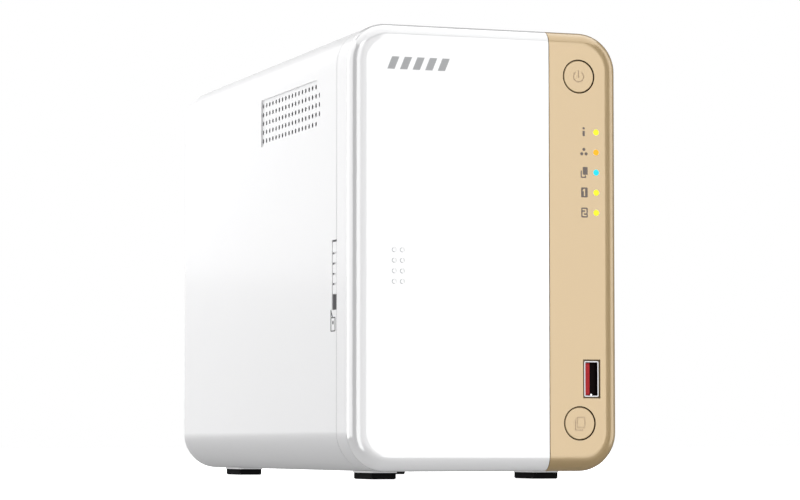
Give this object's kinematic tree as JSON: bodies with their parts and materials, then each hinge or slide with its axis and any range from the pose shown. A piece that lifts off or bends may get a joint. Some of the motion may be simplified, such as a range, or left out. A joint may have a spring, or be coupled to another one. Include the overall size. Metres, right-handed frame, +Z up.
{
  "type": "network attached storage unit",
  "caption": "Desktop network attached storage unit with a removable glossy cover over hot-swap drive trays, an accent strip with buttons, status lights and a USB socket.",
  "frame": {"origin": "centre of the footprint, on the surface the feet stand on", "axes": "+X right seen from the front, front faces -Y, +Z up"},
  "size_m": [0.105, 0.226, 0.166],
  "materials": {
    "shell_white": "satin white moulded plastic",
    "cover_white": "high gloss white",
    "accent_gold": "satin metallic pale gold paint",
    "lens": "translucent light pipe, lit",
    "usb_red": "red moulded plastic",
    "socket_black": "black moulded plastic",
    "bright_steel": "bright plated steel",
    "foot_rubber": "black rubber",
    "foot_base": "light grey plastic",
    "sheet_steel": "zinc plated sheet steel",
    "rear_steel": "fine textured light paint",
    "screw_steel": "plated screw",
    "tray_grey": "dark grey textured plastic",
    "lever_grey": "mid grey plastic",
    "guide_plastic": "natural acetal",
    "board_green": "green solder mask",
    "chip_black": "black epoxy",
    "sink_aluminium": "extruded, anodised",
    "contact_gold": "gold plated contacts",
    "fan_black": "black glass filled plastic",
    "lead_black": "sleeved lead",
    "lamp_white": "lamp body"
  },
  "bodies": {
    "root": {"outer_sleeve": "shell_white", "front_bezel": "shell_white", "accent_panel": "accent_gold", "status_lenses": "lens", "status_lamps": "lamp_white", "front_board": "board_green", "front_switches": "socket_black", "front_usb_shell": "bright_steel", "front_usb_tongue": "usb_red", "front_usb_contacts": "contact_gold", "foot_bases": "foot_base", "foot_pads": "foot_rubber", "chassis": "sheet_steel", "cage_brackets": "sheet_steel", "drive_cage": "sheet_steel", "tray_guides": "guide_plastic", "cage_screws": "screw_steel", "backplane": "board_green", "drive_connectors": "socket_black", "board_link": "socket_black", "main_board": "board_green", "board_standoffs": "screw_steel", "board_screws": "screw_steel", "processor": "chip_black", "heat_sink": "sink_aluminium", "memory_socket": "socket_black", "memory_module": "chip_black", "coin_cell_holder": "socket_black", "coin_cell": "bright_steel", "buzzer": "socket_black", "rear_panel": "rear_steel", "security_bracket": "sheet_steel", "fixing_blocks": "foot_base", "panel_screws": "screw_steel", "fan_frame": "fan_black", "fan_screws": "screw_steel", "fan_lead": "lead_black", "fan_plug": "socket_black", "rear_usb_shells": "bright_steel", "rear_usb_tongues": "socket_black", "network_jacks": "bright_steel", "jack_contacts": "contact_gold", "hdmi_port": "bright_steel", "hdmi_tongue": "socket_black", "dc_inlet": "socket_black", "dc_pin": "bright_steel", "reset_switch": "socket_black"},
    "cover": {"front_cover": "cover_white"},
    "lock_slider": {"lock_slider": "shell_white"},
    "power_button": {"power_button": "accent_gold"},
    "copy_button": {"copy_button": "accent_gold"},
    "reset_button": {"reset_button": "socket_black"},
    "fan_rotor": {"fan_rotor": "fan_black"},
    "tray_1": {"drive_tray_1": "tray_grey", "lever_pin_1": "bright_steel"},
    "lever_1": {"tray_lever_1": "lever_grey"},
    "tray_2": {"drive_tray_2": "tray_grey", "lever_pin_2": "bright_steel"},
    "lever_2": {"tray_lever_2": "lever_grey"}
  },
  "joints": [
    {"name": "cover_slide", "type": "slide", "parent": "root", "child": "cover", "axis": [-0.7071, -0.7071, 0], "range_m": [0, 0.3]},
    {"name": "tray_1_slide", "type": "slide", "parent": "root", "child": "tray_1", "axis": [0, -1, 0], "range_m": [0, 0.15]},
    {"name": "tray_2_slide", "type": "slide", "parent": "root", "child": "tray_2", "axis": [0, -1, 0], "range_m": [0, 0.15]},
    {"name": "lever_1_hinge", "type": "hinge", "parent": "tray_1", "child": "lever_1", "pos_m": [-0.0309, -0.102, 0.1185], "axis": [-1, 0, 0], "range_deg": [0, 50]},
    {"name": "lever_2_hinge", "type": "hinge", "parent": "tray_2", "child": "lever_2", "pos_m": [0.0043, -0.102, 0.1185], "axis": [-1, 0, 0], "range_deg": [0, 50]},
    {"name": "lock_slide", "type": "slide", "parent": "root", "child": "lock_slider", "axis": [0, 0, -1], "range_m": [0, 0.0055]},
    {"name": "power_press", "type": "slide", "parent": "root", "child": "power_button", "axis": [0, 1, 0], "range_m": [0, 0.0008], "stiffness_N_per_m": 1200},
    {"name": "copy_press", "type": "slide", "parent": "root", "child": "copy_button", "axis": [0, 1, 0], "range_m": [0, 0.0008], "stiffness_N_per_m": 1200},
    {"name": "reset_press", "type": "slide", "parent": "root", "child": "reset_button", "axis": [0, -1, 0], "range_m": [0, 0.0008], "stiffness_N_per_m": 800},
    {"name": "fan_spin", "type": "hinge", "parent": "root", "child": "fan_rotor", "pos_m": [-0.0135, 0.103, 0.104], "axis": [0, 1, 0], "continuous": true}
  ],
  "couplings": [
    {"joint": "tray_1_slide", "follows": "cover_slide", "ratio": 0.5},
    {"joint": "tray_2_slide", "follows": "cover_slide", "ratio": 0.5},
    {"joint": "lever_1_hinge", "follows": "cover_slide", "rad_per_m": 2.9},
    {"joint": "lever_2_hinge", "follows": "cover_slide", "rad_per_m": 2.9}
  ]
}
